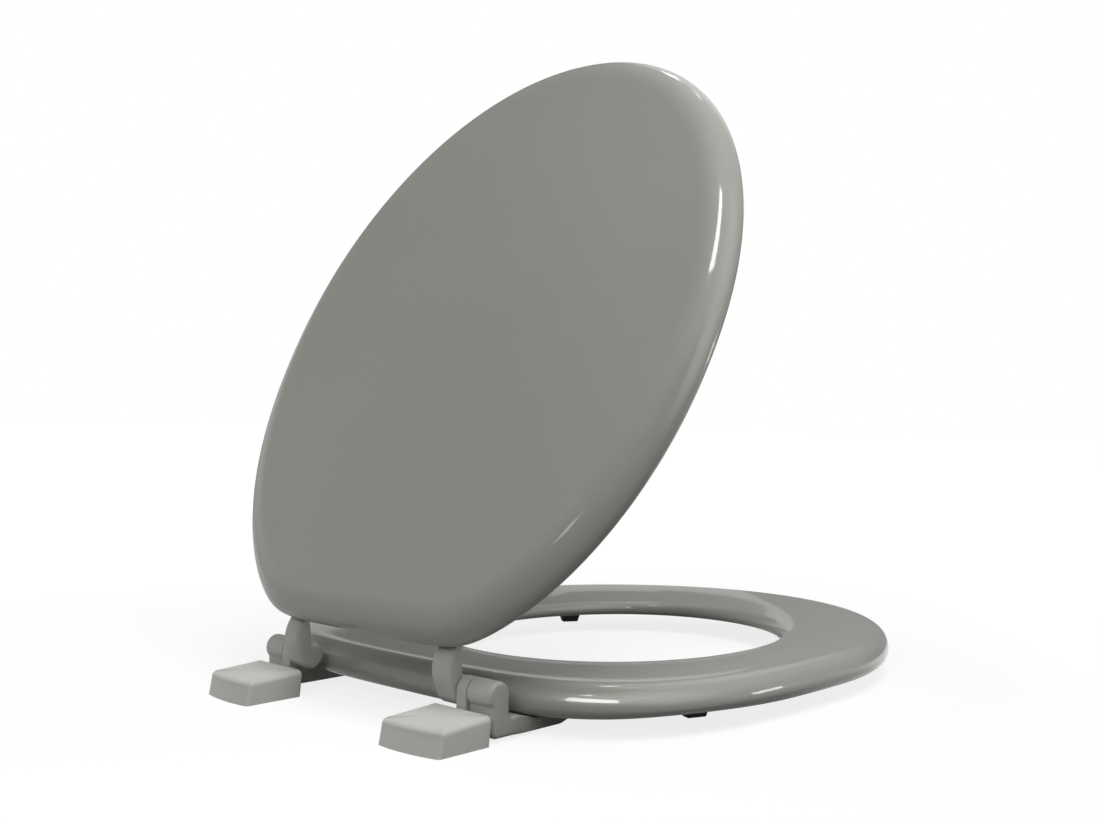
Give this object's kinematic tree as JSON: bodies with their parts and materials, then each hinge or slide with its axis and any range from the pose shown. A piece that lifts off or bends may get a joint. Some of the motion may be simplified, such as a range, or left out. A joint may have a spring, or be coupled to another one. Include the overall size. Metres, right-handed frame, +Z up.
{
  "type": "toilet seat with lid",
  "caption": "Oval moulded toilet seat and domed lid on two pinned plastic hinges, with covers over the fixing points.",
  "frame": {"origin": "midway between the two fixing holes, on the plane of the pan's top that the hinge bases rest on", "axes": "+Z up, along the fixing holes; +Y to the cistern, so the front of the seat is at -Y; X runs across through both holes"},
  "size_m": [0.3686, 0.48, 0.4162],
  "materials": {
    "paint": "gloss",
    "hinge_plastic": "satin",
    "cover_plastic": "matte",
    "buffer_plastic": "matte",
    "steel": "satin"
  },
  "bodies": {
    "base": {"hinge_base_left": "hinge_plastic", "hinge_base_right": "hinge_plastic", "bolt_cover_left": "cover_plastic", "bolt_cover_right": "cover_plastic", "hinge_pin_left": "steel", "hinge_pin_right": "steel"},
    "seat_body": {"seat": "paint", "seat_hinge_arm_left": "hinge_plastic", "seat_hinge_arm_right": "hinge_plastic", "seat_arm_screws": "steel", "seat_buffer_front_left": "buffer_plastic", "seat_buffer_front_right": "buffer_plastic", "seat_buffer_rear_left": "buffer_plastic", "seat_buffer_rear_right": "buffer_plastic", "seat_buffer_nails": "steel"},
    "lid_body": {"lid": "paint", "lid_hinge_arm_left": "hinge_plastic", "lid_hinge_arm_right": "hinge_plastic", "lid_arm_screws": "steel", "lid_buffer_left": "buffer_plastic", "lid_buffer_right": "buffer_plastic", "lid_buffer_nails": "steel"}
  },
  "joints": [
    {"name": "seat_hinge", "type": "hinge", "parent": "base", "child": "seat_body", "pos_m": [0, -0.028, 0.0244], "axis": [-1, 0, 0], "range_deg": [0, 64]},
    {"name": "lid_hinge", "type": "hinge", "parent": "seat_body", "child": "lid_body", "pos_m": [0, -0.028, 0.0244], "axis": [-1, 0, 0], "range_deg": [-62, 0]}
  ]
}
